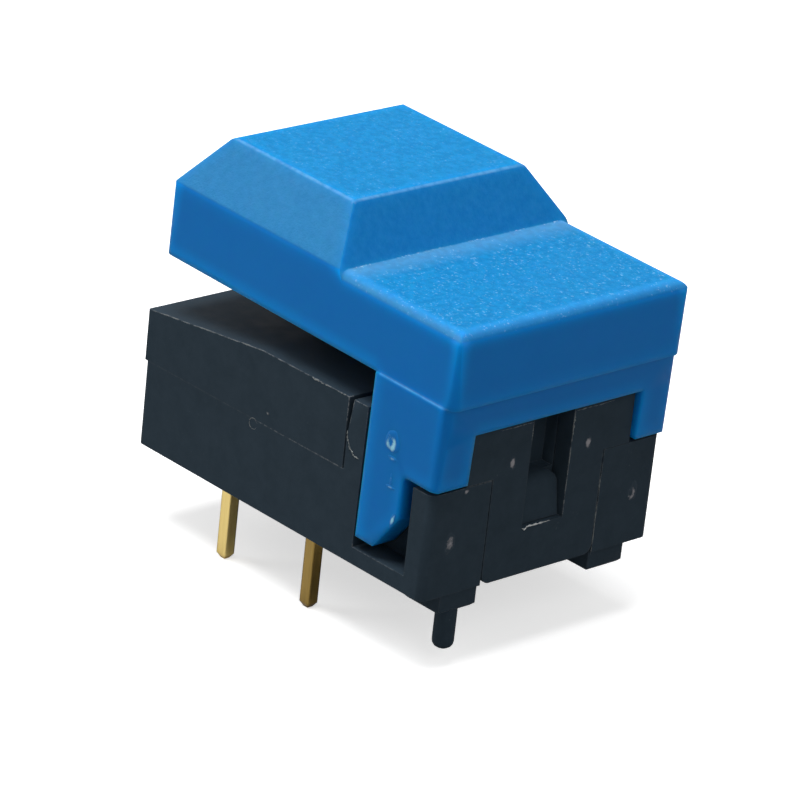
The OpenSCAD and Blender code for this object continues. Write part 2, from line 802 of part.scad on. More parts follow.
// The rib that pushes the plunger down, with a rounded end
module pusher() {
    half = stem_w / 2 - pusher_inset;
    rise = stem_top + pusher_gap + pusher_r - hinge_h;
    x = hinge_x - lever * cos(rest_tilt) - rise * sin(rest_tilt);
    z = hinge_h - lever * sin(rest_tilt) + rise * cos(rest_tilt);
    top = pad_h - key_roof + eps;
    cross_bar(x, z, 2 * pusher_r, -half, half);
    intersection() {
        key_shell();
        union() {
            box([x - pusher_rib_t / 2, -half, z], [x + pusher_rib_t / 2, half, top]);
            box([x - pusher_web[0], -pusher_web[1], z + pusher_r],
                [x + pusher_web[0], pusher_web[1], top]);
        }
    }
}

// ---------------------------------------------------------------- plunger and springs

module plunger() {
    color("#e8e4d8") on_feet() translate([contact_x, 0, 0]) difference() {
        union() {
            box([-carrier_l / 2, -carrier_w / 2, carrier_z],
                [carrier_l / 2, carrier_w / 2, carrier_top]);
            rounded_block([-stem_w / 2, -stem_w / 2, carrier_z],
                          [stem_w / 2, stem_w / 2, stem_top], stem_r);
        }
        translate([0, 0, carrier_z - cut])
            cylinder(d = bore_d, h = bore_top - carrier_z + cut);
        for (side = [-1, 1]) bridge_window(side * contact_y);
    }
}

// The opening in the carrier that holds a bridge and its spring
module bridge_window(y) {
    box([-carrier_l, y - window_y / 2, bridge_z], [carrier_l, y + window_y / 2, window_top]);
}

module return_spring() {
    color("#c9ccd0") on_feet() translate([contact_x, 0, floor_t])
        coil_spring(return_d, return_wire, return_turns, bore_top - floor_t, 16, 6);
}

// A moving contact: a strip with lowered arms and a dome under each end
module contact_bridge(y) {
    reach = pin_pitch / 2 + bridge_end;
    flat = carrier_l / 2 + bridge_knee;
    knee = flat + bridge_drop;
    low = bridge_z - bridge_drop;
    thick = bridge_t * (sqrt(2) - 1);
    half_outline = [[flat, bridge_z], [knee, low], [reach, low], [reach, low + bridge_t],
                    [knee + thick, low + bridge_t], [flat + thick, bridge_top]];
    far_half = [for (i = [5 : -1 : 0]) [-half_outline[i][0], half_outline[i][1]]];
    color("#d8b15a") on_feet() translate([contact_x, 0, 0]) {
        side_plate(concat(half_outline, far_half), y - bridge_w / 2, y + bridge_w / 2);
        for (side = [-1, 1])
            translate([side * pin_pitch / 2, y, low - dome_h])
                cylinder(d1 = dome_d / 2, d2 = dome_d, h = dome_h + eps);
    }
}

module contact_bridge_near() {
    contact_bridge(-contact_y);
}

module contact_bridge_far() {
    contact_bridge(contact_y);
}

module contact_spring(y) {
    color("#c9ccd0") on_feet() translate([contact_x, y, bridge_top])
        coil_spring(contact_spring_d, contact_wire, contact_turns,
                    window_top - bridge_top, 12, 5);
}

module contact_spring_near() {
    contact_spring(-contact_y);
}

module contact_spring_far() {
    contact_spring(contact_y);
}

// ---------------------------------------------------------------- terminals

function pin_xs() = [contact_x - pin_pitch / 2, contact_x + pin_pitch / 2];

// A terminal: a square pin with a bevelled tip, bent over to a pad with a dome
module terminal(x, side) {
    y = row_pitch / 2;
    half = pin_w / 2;
    tip = -standoff_h - pin_l;
    top = floor_t + pad_t;
    taper = tip + pin_taper[1];
    pad_half = fixed_pad_w / 2;
    point = half - pin_taper[0];
    color("#d9b65c") on_feet() scale([1, side, 1]) translate([x, 0, 0]) {
        intersection() {
            side_plate([[-half, top], [-half, taper], [-point, tip],
                        [point, tip], [half, taper], [half, top]], y - half, y + half);
            end_plate([[y - half, top], [y - half, taper], [y - point, tip],
                       [y + point, tip], [y + half, taper], [y + half, top]], -half, half);
        }
        box([-pad_half, contact_y - pad_half, floor_t], [pad_half, y + half, top]);
        translate([0, contact_y, top - eps])
            cylinder(d1 = fixed_pad_w - pad_margin, d2 = fixed_pad_w / 2, h = dome_h + eps);
    }
}

module terminal_1() {
    terminal(pin_xs()[0], -1);
}

module terminal_2() {
    terminal(pin_xs()[1], -1);
}

module terminal_3() {
    terminal(pin_xs()[0], 1);
}

module terminal_4() {
    terminal(pin_xs()[1], 1);
}

base();
upper_cover();
key_cap();
plunger();
return_spring();
contact_bridge_near();
contact_bridge_far();
contact_spring_near();
contact_spring_far();
terminal_1();
terminal_2();
terminal_3();
terminal_4();
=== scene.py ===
"""Looks of a momentary push button switch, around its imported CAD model.

Lengths are in metres, except where a name or a comment says mm.
"""

import math
import random

import bpy
from mathutils import Matrix, Vector


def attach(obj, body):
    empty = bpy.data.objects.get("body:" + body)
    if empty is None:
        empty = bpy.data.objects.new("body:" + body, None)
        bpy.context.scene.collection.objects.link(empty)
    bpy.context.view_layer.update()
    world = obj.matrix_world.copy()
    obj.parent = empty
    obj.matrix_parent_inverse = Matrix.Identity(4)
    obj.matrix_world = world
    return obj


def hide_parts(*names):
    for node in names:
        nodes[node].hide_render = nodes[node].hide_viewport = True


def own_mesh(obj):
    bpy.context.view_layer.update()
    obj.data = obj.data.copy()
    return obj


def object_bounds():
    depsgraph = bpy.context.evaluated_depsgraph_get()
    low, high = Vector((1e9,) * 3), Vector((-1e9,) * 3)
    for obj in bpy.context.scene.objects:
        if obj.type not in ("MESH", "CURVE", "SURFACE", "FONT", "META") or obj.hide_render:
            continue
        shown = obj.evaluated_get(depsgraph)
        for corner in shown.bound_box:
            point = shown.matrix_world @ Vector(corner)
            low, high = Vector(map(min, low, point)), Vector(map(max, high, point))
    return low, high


MM = 0.001

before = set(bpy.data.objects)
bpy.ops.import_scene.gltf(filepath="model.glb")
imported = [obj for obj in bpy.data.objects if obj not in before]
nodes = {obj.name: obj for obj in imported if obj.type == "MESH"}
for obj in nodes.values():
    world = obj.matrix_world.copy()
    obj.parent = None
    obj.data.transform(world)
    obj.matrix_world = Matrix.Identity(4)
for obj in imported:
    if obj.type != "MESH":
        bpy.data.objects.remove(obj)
cad_box = [list(corner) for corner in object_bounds()]


# ------------------------------------------------------------------ camera

# The photograph's camera, solved from points of the photograph
CAMERA_AT = Vector((117.75, -115.007, 74.003)) * MM
AZIMUTH = math.radians(45.666)
BACK = Vector((0.65925, -0.6441, 0.38797)).normalized()
ROLL = math.radians(6.312)
LENS_MM = 204.06
SENSOR_MM = 36.0
CLIP_START = 0.01


def make_camera():
    right = Vector((math.cos(AZIMUTH), math.sin(AZIMUTH), 0))
    up = BACK.cross(right)
    across = right * math.cos(ROLL) + up * math.sin(ROLL)
    above = up * math.cos(ROLL) - right * math.sin(ROLL)
    turn = Matrix((across, above, BACK)).transposed().to_4x4()
    data = bpy.data.cameras.new("camera")
    data.lens = LENS_MM
    data.sensor_width = SENSOR_MM
    data.clip_start = CLIP_START
    camera = bpy.data.objects.new("camera", data)
    camera.matrix_world = Matrix.Translation(CAMERA_AT) @ turn
    bpy.context.scene.collection.objects.link(camera)
    bpy.context.scene.camera = camera


make_camera()


# ------------------------------------------------------------------ node trees

EDGE_SAMPLES = 8


class Nodes:
    """Builds the node tree of a material or of the world."""

    def __init__(self, owner):
        owner.use_nodes = True
        self.owner = owner
        self.tree = owner.node_tree
        self.tree.nodes.clear()

    def add(self, kind, inputs=None, **settings):
        node = self.tree.nodes.new("ShaderNode" + kind)
        for key, value in settings.items():
            setattr(node, key, value)
        for key, value in (inputs or {}).items():
            self.put(node, key, value)
        return node

    def put(self, node, key, value):
        socket = node.inputs[key]
        if isinstance(value, bpy.types.NodeSocket):
            self.tree.links.new(value, socket)
        else:
            socket.default_value = value

    def principled(self, inputs):
        shader = self.add("BsdfPrincipled", inputs)
        self.add("OutputMaterial", {"Surface": shader.outputs[0]})
        return self.owner

    def coords(self):
        return self.add("TexCoord").outputs["Object"]

    def math(self, operation, a, b=0.0, clamp=False):
        return self.add("Math", {0: a, 1: b}, operation=operation, use_clamp=clamp).outputs[0]

    def chain(self, operation, values):
        result = values[0]
        for value in values[1:]:
            result = self.math(operation, result, value)
        return result

    def product(self, *values):
        return self.chain("MULTIPLY", values)

    def total(self, *values):
        return self.chain("ADD", values)

    def most(self, *values):
        return self.chain("MAXIMUM", values)

    def rest_of(self, share):
        return self.math("SUBTRACT", 1.0, share)

    def vector(self, operation, a, b=(0, 0, 0)):
        node = self.add("VectorMath", {0: a, 1: b}, operation=operation)
        return node.outputs["Value" if operation in ("LENGTH", "DOT_PRODUCT") else "Vector"]

    def ramp(self, value, start, end):
        """From one level to another, each given as (place, level)."""
        node = self.add("ValToRGB", {"Fac": value})
        for element, (place, level) in zip(node.color_ramp.elements, (start, end)):
            element.position = place
            element.color = (level, level, level, 1)
        return node.outputs["Color"]

    def noise(self, coords, size_mm, detail=2.0, rough=0.5):
        return self.add("TexNoise", {"Vector": coords, "Scale": 1 / (size_mm * MM), "Detail": detail,
                                     "Roughness": rough}).outputs["Fac"]

    def mix(self, factor, a, b):
        node = self.add("Mix", data_type="RGBA", blend_type="MIX")
        self.put(node, "Factor", factor)
        for key, colour in ((6, a), (7, b)):
            self.put(node, key, colour if isinstance(colour, bpy.types.NodeSocket) else (*colour, 1))
        return node.outputs[2]

    def bump(self, height, depth_mm, strength, normal=None):
        inputs = {"Height": height, "Distance": depth_mm * MM, "Strength": strength}
        if normal:
            inputs["Normal"] = normal
        return self.add("Bump", inputs).outputs[0]

    def soft_edges(self, radius_mm):
        """The surface's normal, turning gradually round its edges."""
        return self.add("Bevel", {"Radius": radius_mm * MM}, samples=EDGE_SAMPLES).outputs[0]

    def edge_mask(self, radius_mm, gain):
        """1 on edges, 0 on flat faces."""
        flat = self.add("NewGeometry").outputs["Normal"]
        alike = self.vector("DOT_PRODUCT", self.soft_edges(radius_mm), flat)
        return self.math("MULTIPLY", self.rest_of(alike), gain, clamp=True)

    def painted_rim_glow(self, reach_mm, gain):
        """A mask for painted glow, growing towards convex edges, where light that entered one face would
        leave by the next.
        """
        node = self.add("AmbientOcclusion", {"Distance": reach_mm * MM},
                        inside=True, only_local=True, samples=EDGE_SAMPLES)
        return self.math("MULTIPLY", self.rest_of(node.outputs["AO"]), gain, clamp=True)

    def near_line(self, coords, line, reach_mm):
        """1 on a line, falling to 0 at a distance. A line is a point in mm, and the axes across it."""
        point_mm, across = line
        offset = self.vector("SUBTRACT", coords, [v * MM for v in point_mm])
        away = self.vector("LENGTH", self.vector("MULTIPLY", offset, across))
        return self.ramp(self.math("DIVIDE", away, reach_mm * MM), (0.3, 1.0), (1.0, 0.0))

    def inside(self, coords, low_mm, high_mm, soft):
        """1 in a box, falling to 0 within its outer `soft` share."""
        middle = [(a + b) / 2 * MM for a, b in zip(low_mm, high_mm)]
        half = [(b - a) / 2 * MM for a, b in zip(low_mm, high_mm)]
        offset = self.vector("DIVIDE", self.vector("SUBTRACT", coords, middle), half)
        reach = self.add("SeparateXYZ", {0: self.vector("ABSOLUTE", offset)}).outputs
        return self.ramp(self.most(*reach), (1 - soft, 1.0), (1.0, 0.0))


def material_nodes(name):
    return Nodes(bpy.data.materials.new(name))


# ------------------------------------------------------------------ blue plastic

# The key's tilt about its hinge line at rest, undone to give coordinates along and square to the key
TILT = math.radians(1.4)
HINGE = Vector((6.15, 0, 6.6)) * MM
LEVEL_SHIFT = HINGE - Matrix.Rotation(-TILT, 3, "Y") @ HINGE

# In those coordinates, in mm: the rims and the foot of the raised pad, the rims of the finger rest and
# the skirt's step, each as a point and the axes across it, and the boxes that hold the rest and the step
ACROSS_X, ACROSS_Y = (0, 1, 1), (1, 0, 1)
PAD_FRONT = (0.70, 0, 14.05), ACROSS_Y
PAD_SIDE = (0, 4.40, 14.05), ACROSS_X
PAD_FOOT = (2.00, 0, 11.98), ACROSS_Y
REST_FRONT = (8.58, 0, 11.84), ACROSS_Y
REST_SIDE = (0, 5.70, 11.84), ACROSS_X
SKIRT_STEP = (0, 6.06, 8.98), ACROSS_X
REST_BOX = (2.0, -7, 11.0), (9.5, 7, 12.4)
STEP_BOX = (4.95, -7, 8.0), (9.0, 7, 10.0)
BOX_SOFTNESS = 0.02

# The two ends of each face's mottling. A slope's blue depends on its facing an end or a side of the key;
# the side slopes' paler blues are a painted sheen
UPRIGHT_BLUES = (0.0035, 0.190, 0.59), (0.0045, 0.205, 0.62)
END_SLOPE_BLUES = (0.007, 0.203, 0.53), (0.013, 0.233, 0.57)
SIDE_SLOPE_SHEENED_BLUES = (0.028, 0.228, 0.50), (0.038, 0.258, 0.55)
FLAT_BLUES = (0.005, 0.222, 0.55), (0.009, 0.262, 0.62)
# The blue of the rims' painted glow
PAINTED_GLOW_BLUE = (0.0005, 0.38, 0.98)
PALE_BLUE = (0.50, 0.72, 0.88)

# How much of the pale blue each kind of place can take on
# The pad's rims are pale partly from wear and partly a painted highlight; the skirt's step is a parting
# line with a painted highlight along its ledge; the rest's rims are a painted highlight
PAD_RIM_WEAR_AND_HIGHLIGHT, STEP_LINE_AND_HIGHLIGHT, REST_RIM_HIGHLIGHT = 0.20, 0.17, 0.05
FLAT_SPECKS, REST_SPECKS = 0.20, 0.26
FOOT_FROST, FOOT_HAZE = 0.6, 0.13

# The rims' painted glow is full from 10.8 mm up and less below, down to 8.3 mm; a ramp's places run from 0
# to 1, so heights in metres are scaled up for it
HEIGHT_SCALE = 60.0
GLOW_LOW, GLOW_FULL = (0.50, 0.40), (0.65, 1.0)
GLOW_LOST_ON_SLOPES = 0.75
GLOW_SHARE = 0.9


def pale_places(n, at, level, looks_up, flat, mottle):
    """Rims pale from wear and painted highlight, and specks, frost and haze on the faces that look up."""
    mirrored = n.vector("ABSOLUTE", level)
    on_rest = n.inside(level, *REST_BOX, BOX_SOFTNESS)
    pad_rim = n.most(n.near_line(level, PAD_FRONT, 0.10), n.near_line(mirrored, PAD_SIDE, 0.10))
    rest_rim = n.most(n.near_line(level, REST_FRONT, 0.34),
                      n.product(n.near_line(mirrored, REST_SIDE, 0.34), on_rest))
    step = n.product(n.near_line(mirrored, SKIRT_STEP, 0.08), n.inside(level, *STEP_BOX, BOX_SOFTNESS))
    # Pale rims: wear, a parting line and painted highlight
    pale_share = n.product(n.most(n.product(pad_rim, PAD_RIM_WEAR_AND_HIGHLIGHT), n.product(step, STEP_LINE_AND_HIGHLIGHT)),
                     n.ramp(mottle, (0.35, 0.5), (0.60, 1.0)))
    pale_share = n.most(pale_share, n.product(rest_rim, REST_RIM_HIGHLIGHT))

    dots = n.noise(at, 0.11, detail=1.0)
    patchy = n.ramp(n.noise(at, 0.6, detail=3.0, rough=0.7), (0.42, 0.15), (0.60, 1.0))
    specks = n.product(n.ramp(dots, (0.59, 0.0), (0.75, 1.0)), patchy,
                       n.total(n.product(flat, FLAT_SPECKS), n.product(on_rest, looks_up, REST_SPECKS)))
    frost = n.product(n.ramp(dots, (0.50, 0.05), (0.70, 1.0)),
                      n.product(n.near_line(level, PAD_FOOT, 0.24), flat, FOOT_FROST),
                      n.ramp(n.noise(at, 0.9), (0.42, 0.1), (0.60, 1.0)))
    haze = n.product(n.near_line(level, PAD_FOOT, 1.4), on_rest, flat, FOOT_HAZE)
    return n.most(specks, frost, pale_share, haze)


def blue_plastic():
    """Smooth, saturated sides; fine spark-eroded texture with pale specks on faces that look up."""
    n = material_nodes("blue_plastic")
    coords = n.add("TexCoord").outputs
    at = coords["Object"]
    level = n.add("Mapping", {0: at, 1: LEVEL_SHIFT, 2: (0, -TILT, 0)}, vector_type="POINT").outputs[0]
    sideways, up = n.add("SeparateXYZ", {0: coords["Normal"]}).outputs[1:]
    looks_up = n.ramp(up, (0.3, 0.0), (0.5, 1.0))
    flat = n.ramp(up, (0.7, 0.0), (0.97, 1.0))
    cloud = n.noise(at, 1.4, detail=3.0)
    mottle = n.noise(at, 0.3, rough=0.6)

    mottled = n.ramp(mottle, (0.3, 0.0), (0.7, 1.0))
    # The side slopes take the paler blues: a painted sheen
    slope_blue = n.mix(n.ramp(n.math("ABSOLUTE", sideways), (0.3, 0.0), (0.5, 1.0)),
                       n.mix(mottled, *END_SLOPE_BLUES), n.mix(mottled, *SIDE_SLOPE_SHEENED_BLUES))
    flat_blue = n.mix(n.ramp(mottle, (0.40, 0.0), (0.60, 1.0)), *FLAT_BLUES)
    colour = n.mix(looks_up, n.mix(cloud, *UPRIGHT_BLUES), n.mix(flat, slope_blue, flat_blue))

    height = n.math("MULTIPLY", n.add("SeparateXYZ", {0: level}).outputs["Z"], HEIGHT_SCALE)
    # Painted glow: the rims turn a brighter, more saturated blue, standing in for light carried through the
    # plastic
    glow = n.product(n.painted_rim_glow(0.7, 2.2), n.ramp(height, GLOW_LOW, GLOW_FULL),
                     n.rest_of(n.product(looks_up, n.rest_of(flat), GLOW_LOST_ON_SLOPES)))
    colour = n.mix(n.product(glow, GLOW_SHARE), colour, PAINTED_GLOW_BLUE)
    colour = n.mix(pale_places(n, at, level, looks_up, flat, mottle), colour, PALE_BLUE)

    grain = n.product(n.noise(at, 0.09, detail=3.0, rough=0.65),
                      n.total(n.product(looks_up, 0.95), 0.05))
    return n.principled({"Base Color": colour,
                         "Roughness": n.total(n.product(cloud, 0.1), 0.34, n.product(looks_up, 0.18)),
                         "Normal": n.bump(grain, 0.03, 0.8, n.soft_edges(0.3)),
                         "Specular IOR Level": 0.08, "IOR": 1.48, "Subsurface Weight": 0.7,
                         "Subsurface Radius": (0.1, 0.6, 1.0), "Subsurface Scale": 0.4 * MM})


# ------------------------------------------------------------------ other materials

CLOUDED_BLACKS = (0.0285, 0.0450, 0.0610), (0.0365, 0.0555, 0.0745)
# Edges lighten towards this black: a painted highlight
EDGE_HIGHLIGHT_BLACK = (0.050, 0.062, 0.075)
# Pale grey of scuffs and of painted highlight on edges
SCUFF_AND_HIGHLIGHT_GREY = (0.30, 0.32, 0.33)
DUST_GREY = (0.20, 0.22, 0.24)
EDGE_HIGHLIGHT_SHARE, DUST_SHARE = 0.25, 0.25

# Where the black mouldings' edges are pale, partly from scuffs and partly a painted highlight on their
# rounding: low and high corners in mm, and how strongly
SCUFFED_AND_HIGHLIT = [((-8.6, -6.3, 6.4), (4.8, -5.8, 7.7), 0.9),
           ((8.3, 0.9, 2.7), (8.7, 1.3, 7.6), 0.9),
           ((8.3, -1.3, 6.5), (8.7, -0.9, 7.6), 0.5),
           ((7.3, -6.2, 5.1), (8.7, -2.8, 5.4), 0.35),
           ((8.3, 2.7, 0.9), (8.7, 3.2, 5.4), 0.3),
           ((-1.5, -6.3, 4.4), (3.6, -6.0, 4.6), 0.45),
           ((3.4, -6.3, 0.9), (8.7, -5.9, 1.8), 0.3)]
SCUFFED_AND_HIGHLIT_ELSEWHERE = 0.06
SCUFF_AND_HIGHLIGHT_SOFTNESS = 0.1


def black_plastic():
    """Satin black, clouded, with a painted highlight along its edges, and pale scuffs, partly painted
    highlight, along some edges.
    """
    n = material_nodes("black_plastic")
    at = n.coords()
    cloud = n.ramp(n.noise(at, 1.2, detail=5.0, rough=0.7), (0.3, 0.0), (0.7, 1.0))
    colour = n.mix(cloud, *CLOUDED_BLACKS)
    # Painted highlight along the edges
    colour = n.mix(n.product(n.edge_mask(0.16, 4.0), EDGE_HIGHLIGHT_SHARE), colour, EDGE_HIGHLIGHT_BLACK)

    scuffed_and_highlit = n.most(SCUFFED_AND_HIGHLIT_ELSEWHERE, *(n.product(n.inside(at, low, high, SCUFF_AND_HIGHLIGHT_SOFTNESS), amount)
                                          for low, high, amount in SCUFFED_AND_HIGHLIT))
    # Pale chips on edges: scuffs, and painted highlight
    chips = n.ramp(n.noise(at, 0.3, detail=5.0, rough=0.75), (0.43, 0.0), (0.57, 1.0))
    colour = n.mix(n.product(n.edge_mask(0.08, 6.0), chips, scuffed_and_highlit), colour, SCUFF_AND_HIGHLIGHT_GREY)

    dust = n.product(n.ramp(n.noise(at, 0.09, detail=0.0), (0.80, 0.0), (0.86, 1.0)),
                     n.ramp(n.noise(at, 1.7), (0.55, 0.0), (0.75, 1.0)), DUST_SHARE)
    colour = n.mix(dust, colour, DUST_GREY)
    return n.principled({"Base Color": colour, "Roughness": n.total(n.product(cloud, 0.2), 0.34),
                         "Normal": n.bump(n.noise(at, 0.12, detail=3.0, rough=0.6), 0.01, 0.35),
                         "IOR": 1.5, "Specular IOR Level": 0.02})


def natural_plastic():
    """Unpigmented and faintly clouded."""
    n = material_nodes("natural_plastic")
    at = n.coords()
    cloud = n.noise(at, 1.5)
    return n.principled({"Base Color": n.mix(cloud, (0.66, 0.63, 0.53), (0.74, 0.71, 0.61)),
                         "Roughness": n.total(n.product(cloud, 0.1), 0.4),
                         "Normal": n.bump(n.noise(at, 0.1), 0.005, 0.3)})


def metal(name, low, high, rough, streak):
    """Drawn or plated metal with soft edges, and fine streaks along the axis that `streak` shrinks."""
    n = material_nodes(name)
    stretched = n.add("Mapping", {0: n.coords(), 3: streak}, vector_type="POINT").outputs[0]
    line = n.noise(stretched, 0.1, detail=3.0, rough=0.6)
    return n.principled({"Base Color": n.mix(line, low, high), "Metallic": 1.0,
                         "Normal": n.bump(line, 0.004, 0.4, n.soft_edges(0.14)),
                         "Roughness": n.total(n.product(line, 0.2), rough - 0.1)})


def mark(name, plain, pale, size_mm, rough, gloss):
    """A moulding mark or scuff: pale flecks on the plastic's own colour, thinning out to the mark's rim. On
    the key's lug the flecks are a painted highlight, on the housing's front partly so.
    """
    n = material_nodes(name)
    fleck = n.noise(n.coords(), size_mm, detail=3.0, rough=0.7)
    pale_share = n.add("Attribute", attribute_name="pale_share").outputs["Fac"]
    amount = n.total(n.math("SUBTRACT", fleck, 0.85), n.product(pale_share, 0.75))
    return n.principled({"Base Color": n.mix(n.ramp(amount, (0.0, 0.0), (0.45, 1.0)), plain, pale),
                         "Normal": n.bump(fleck, 0.02, 0.6), "Specular IOR Level": gloss,
                         "Roughness": n.total(n.product(fleck, 0.2), rough)})


ALONG_PINS, ALONG_BRIDGES, EVEN = (1, 1, 0.08), (0.1, 1, 1), (1, 1, 1)

BLUE = blue_plastic()
BLACK = black_plastic()
NATURAL = natural_plastic()
GOLD = metal("plated_pins", (0.80, 0.60, 0.20), (0.97, 0.76, 0.31), 0.32, ALONG_PINS)
# A darker copy of the pins' gold, for terminals 2 and 4
DARKER_GOLD = metal("darker_pins", (0.23, 0.15, 0.04), (0.41, 0.275, 0.08), 0.32, ALONG_PINS)
CONTACT = metal("contact_metal", (0.60, 0.42, 0.16), (0.76, 0.56, 0.26), 0.3, ALONG_BRIDGES)
STEEL = metal("spring_steel", (0.42, 0.43, 0.45), (0.62, 0.63, 0.65), 0.3, EVEN)
# The lug marks' pale blue is a painted highlight; the front marks' pale grey is partly scuffs and partly
# painted glints
BLUE_MARK = mark("blue_mark", (0.004, 0.19, 0.60), (0.36, 0.74, 0.92), 0.22, 0.34, 0.12)
PALE_MARK = mark("pale_mark", (0.0325, 0.0502, 0.0678), (0.36, 0.35, 0.37), 0.16, 0.4, 0.05)
BURR = mark("burr", (0.10, 0.11, 0.12), (0.62, 0.64, 0.64), 0.12, 0.4, 0.3)
FLASH = mark("flash", (0.04, 0.05, 0.06), (0.20, 0.22, 0.22), 0.25, 0.4, 0.3)


# ------------------------------------------------------------------ CAD pieces

# Each node's material, and the radius in mm that its sharp edges are rounded to
FINISHES = {"base": (BLACK, 0.09), "upper_cover": (BLACK, 0.09), "key_cap": (BLUE, 0.10),
            "plunger": (NATURAL, 0.08), "return_spring": (STEEL, None),
            "contact_spring_near": (STEEL, None), "contact_spring_far": (STEEL, None),
            "contact_bridge_near": (CONTACT, 0.03), "contact_bridge_far": (CONTACT, 0.03),
            "terminal_1": (GOLD, 0.1), "terminal_2": (DARKER_GOLD, 0.1),
            "terminal_3": (GOLD, 0.1), "terminal_4": (DARKER_GOLD, 0.1)}
EDGE_SEGMENTS = 3
SHARP_FROM = math.radians(28)
MERGE_WITHIN = 0.001 * MM


def joined_and_smooth():
    """Geometry nodes that join a mesh at its split edges and shade it smooth."""
    group = bpy.data.node_groups.new("joined_and_smooth", "GeometryNodeTree")
    for way in ("INPUT", "OUTPUT"):
        group.interface.new_socket("Geometry", in_out=way, socket_type="NodeSocketGeometry")
    start = group.nodes.new("NodeGroupInput")
    plain = group.nodes.new("GeometryNodeRemoveAttribute")
    plain.inputs["Name"].default_value = "custom_normal"
    merge = group.nodes.new("GeometryNodeMergeByDistance")
    merge.inputs["Distance"].default_value = MERGE_WITHIN
    smooth_faces = group.nodes.new("GeometryNodeSetShadeSmooth")
    smooth_edges = group.nodes.new("GeometryNodeSetShadeSmooth")
    smooth_edges.domain = "EDGE"
    end = group.nodes.new("NodeGroupOutput")
    chain = [start, plain, merge, smooth_faces, smooth_edges, end]
    for a, b in zip(chain, chain[1:]):
        group.links.new(a.outputs["Geometry"], b.inputs["Geometry"])
    return group


SMOOTH = joined_and_smooth()


def round_edges(node, radius_mm):
    node.modifiers.new("smooth", "NODES").node_group = SMOOTH
    bevel = node.modifiers.new("edges", "BEVEL")
    bevel.width = radius_mm * MM
    bevel.segments = EDGE_SEGMENTS
    bevel.limit_method = "ANGLE"
    bevel.angle_limit = SHARP_FROM
    normals = node.modifiers.new("even", "WEIGHTED_NORMAL")
    normals.mode = "FACE_AREA"
    normals.weight = 100
    normals.thresh = 0.001


def dress_nodes():
    for name, (material, radius_mm) in FINISHES.items():
        nodes[name].data.materials.clear()
        nodes[name].data.materials.append(material)
        if radius_mm:
            round_edges(nodes[name], radius_mm)


def make_return_coil():
    """The return spring as a copy of its own, attached to the housing, with the imported spring hidden."""
    coil = bpy.data.objects.new("return_coil", nodes["return_spring"].data.copy())
    bpy.context.scene.collection.objects.link(coil)
    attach(coil, "housing")
    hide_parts("return_spring")
    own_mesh(coil)


dress_nodes()
make_return_coil()


# ------------------------------------------------------------------ moulding marks and scuffs

# How a face's u (right), v (up) and w (out of it) lie in the frame
SIDE = Matrix(((1, 0, 0), (0, 0, -1), (0, 1, 0)))
FRONT = Matrix(((0, 0, 1), (1, 0, 0), (0, 1, 0)))

# Each marked face, with a point in it in mm
LUG_FACE = SIDE, (0, -6.1, 0)
SIDE_FACE = SIDE, (0, -6.05, 0)
COVER_RIM = SIDE, (0, -6.03, 0)
FRONT_FACE = FRONT, (8.5, 0, 0)

BLISTER_RINGS, BLISTER_SIDES = 7, 28
BLISTER_RIM_SUNK = 0.01
RIDGE_STEPS, RIDGE_SIDES = 8, 6
RIDGE_END, RIDGE_GROWTH = 0.15, 4


def around(count):
    """Each place on a ring, with the next."""
    return [(k, (k + 1) % count) for k in range(count)]


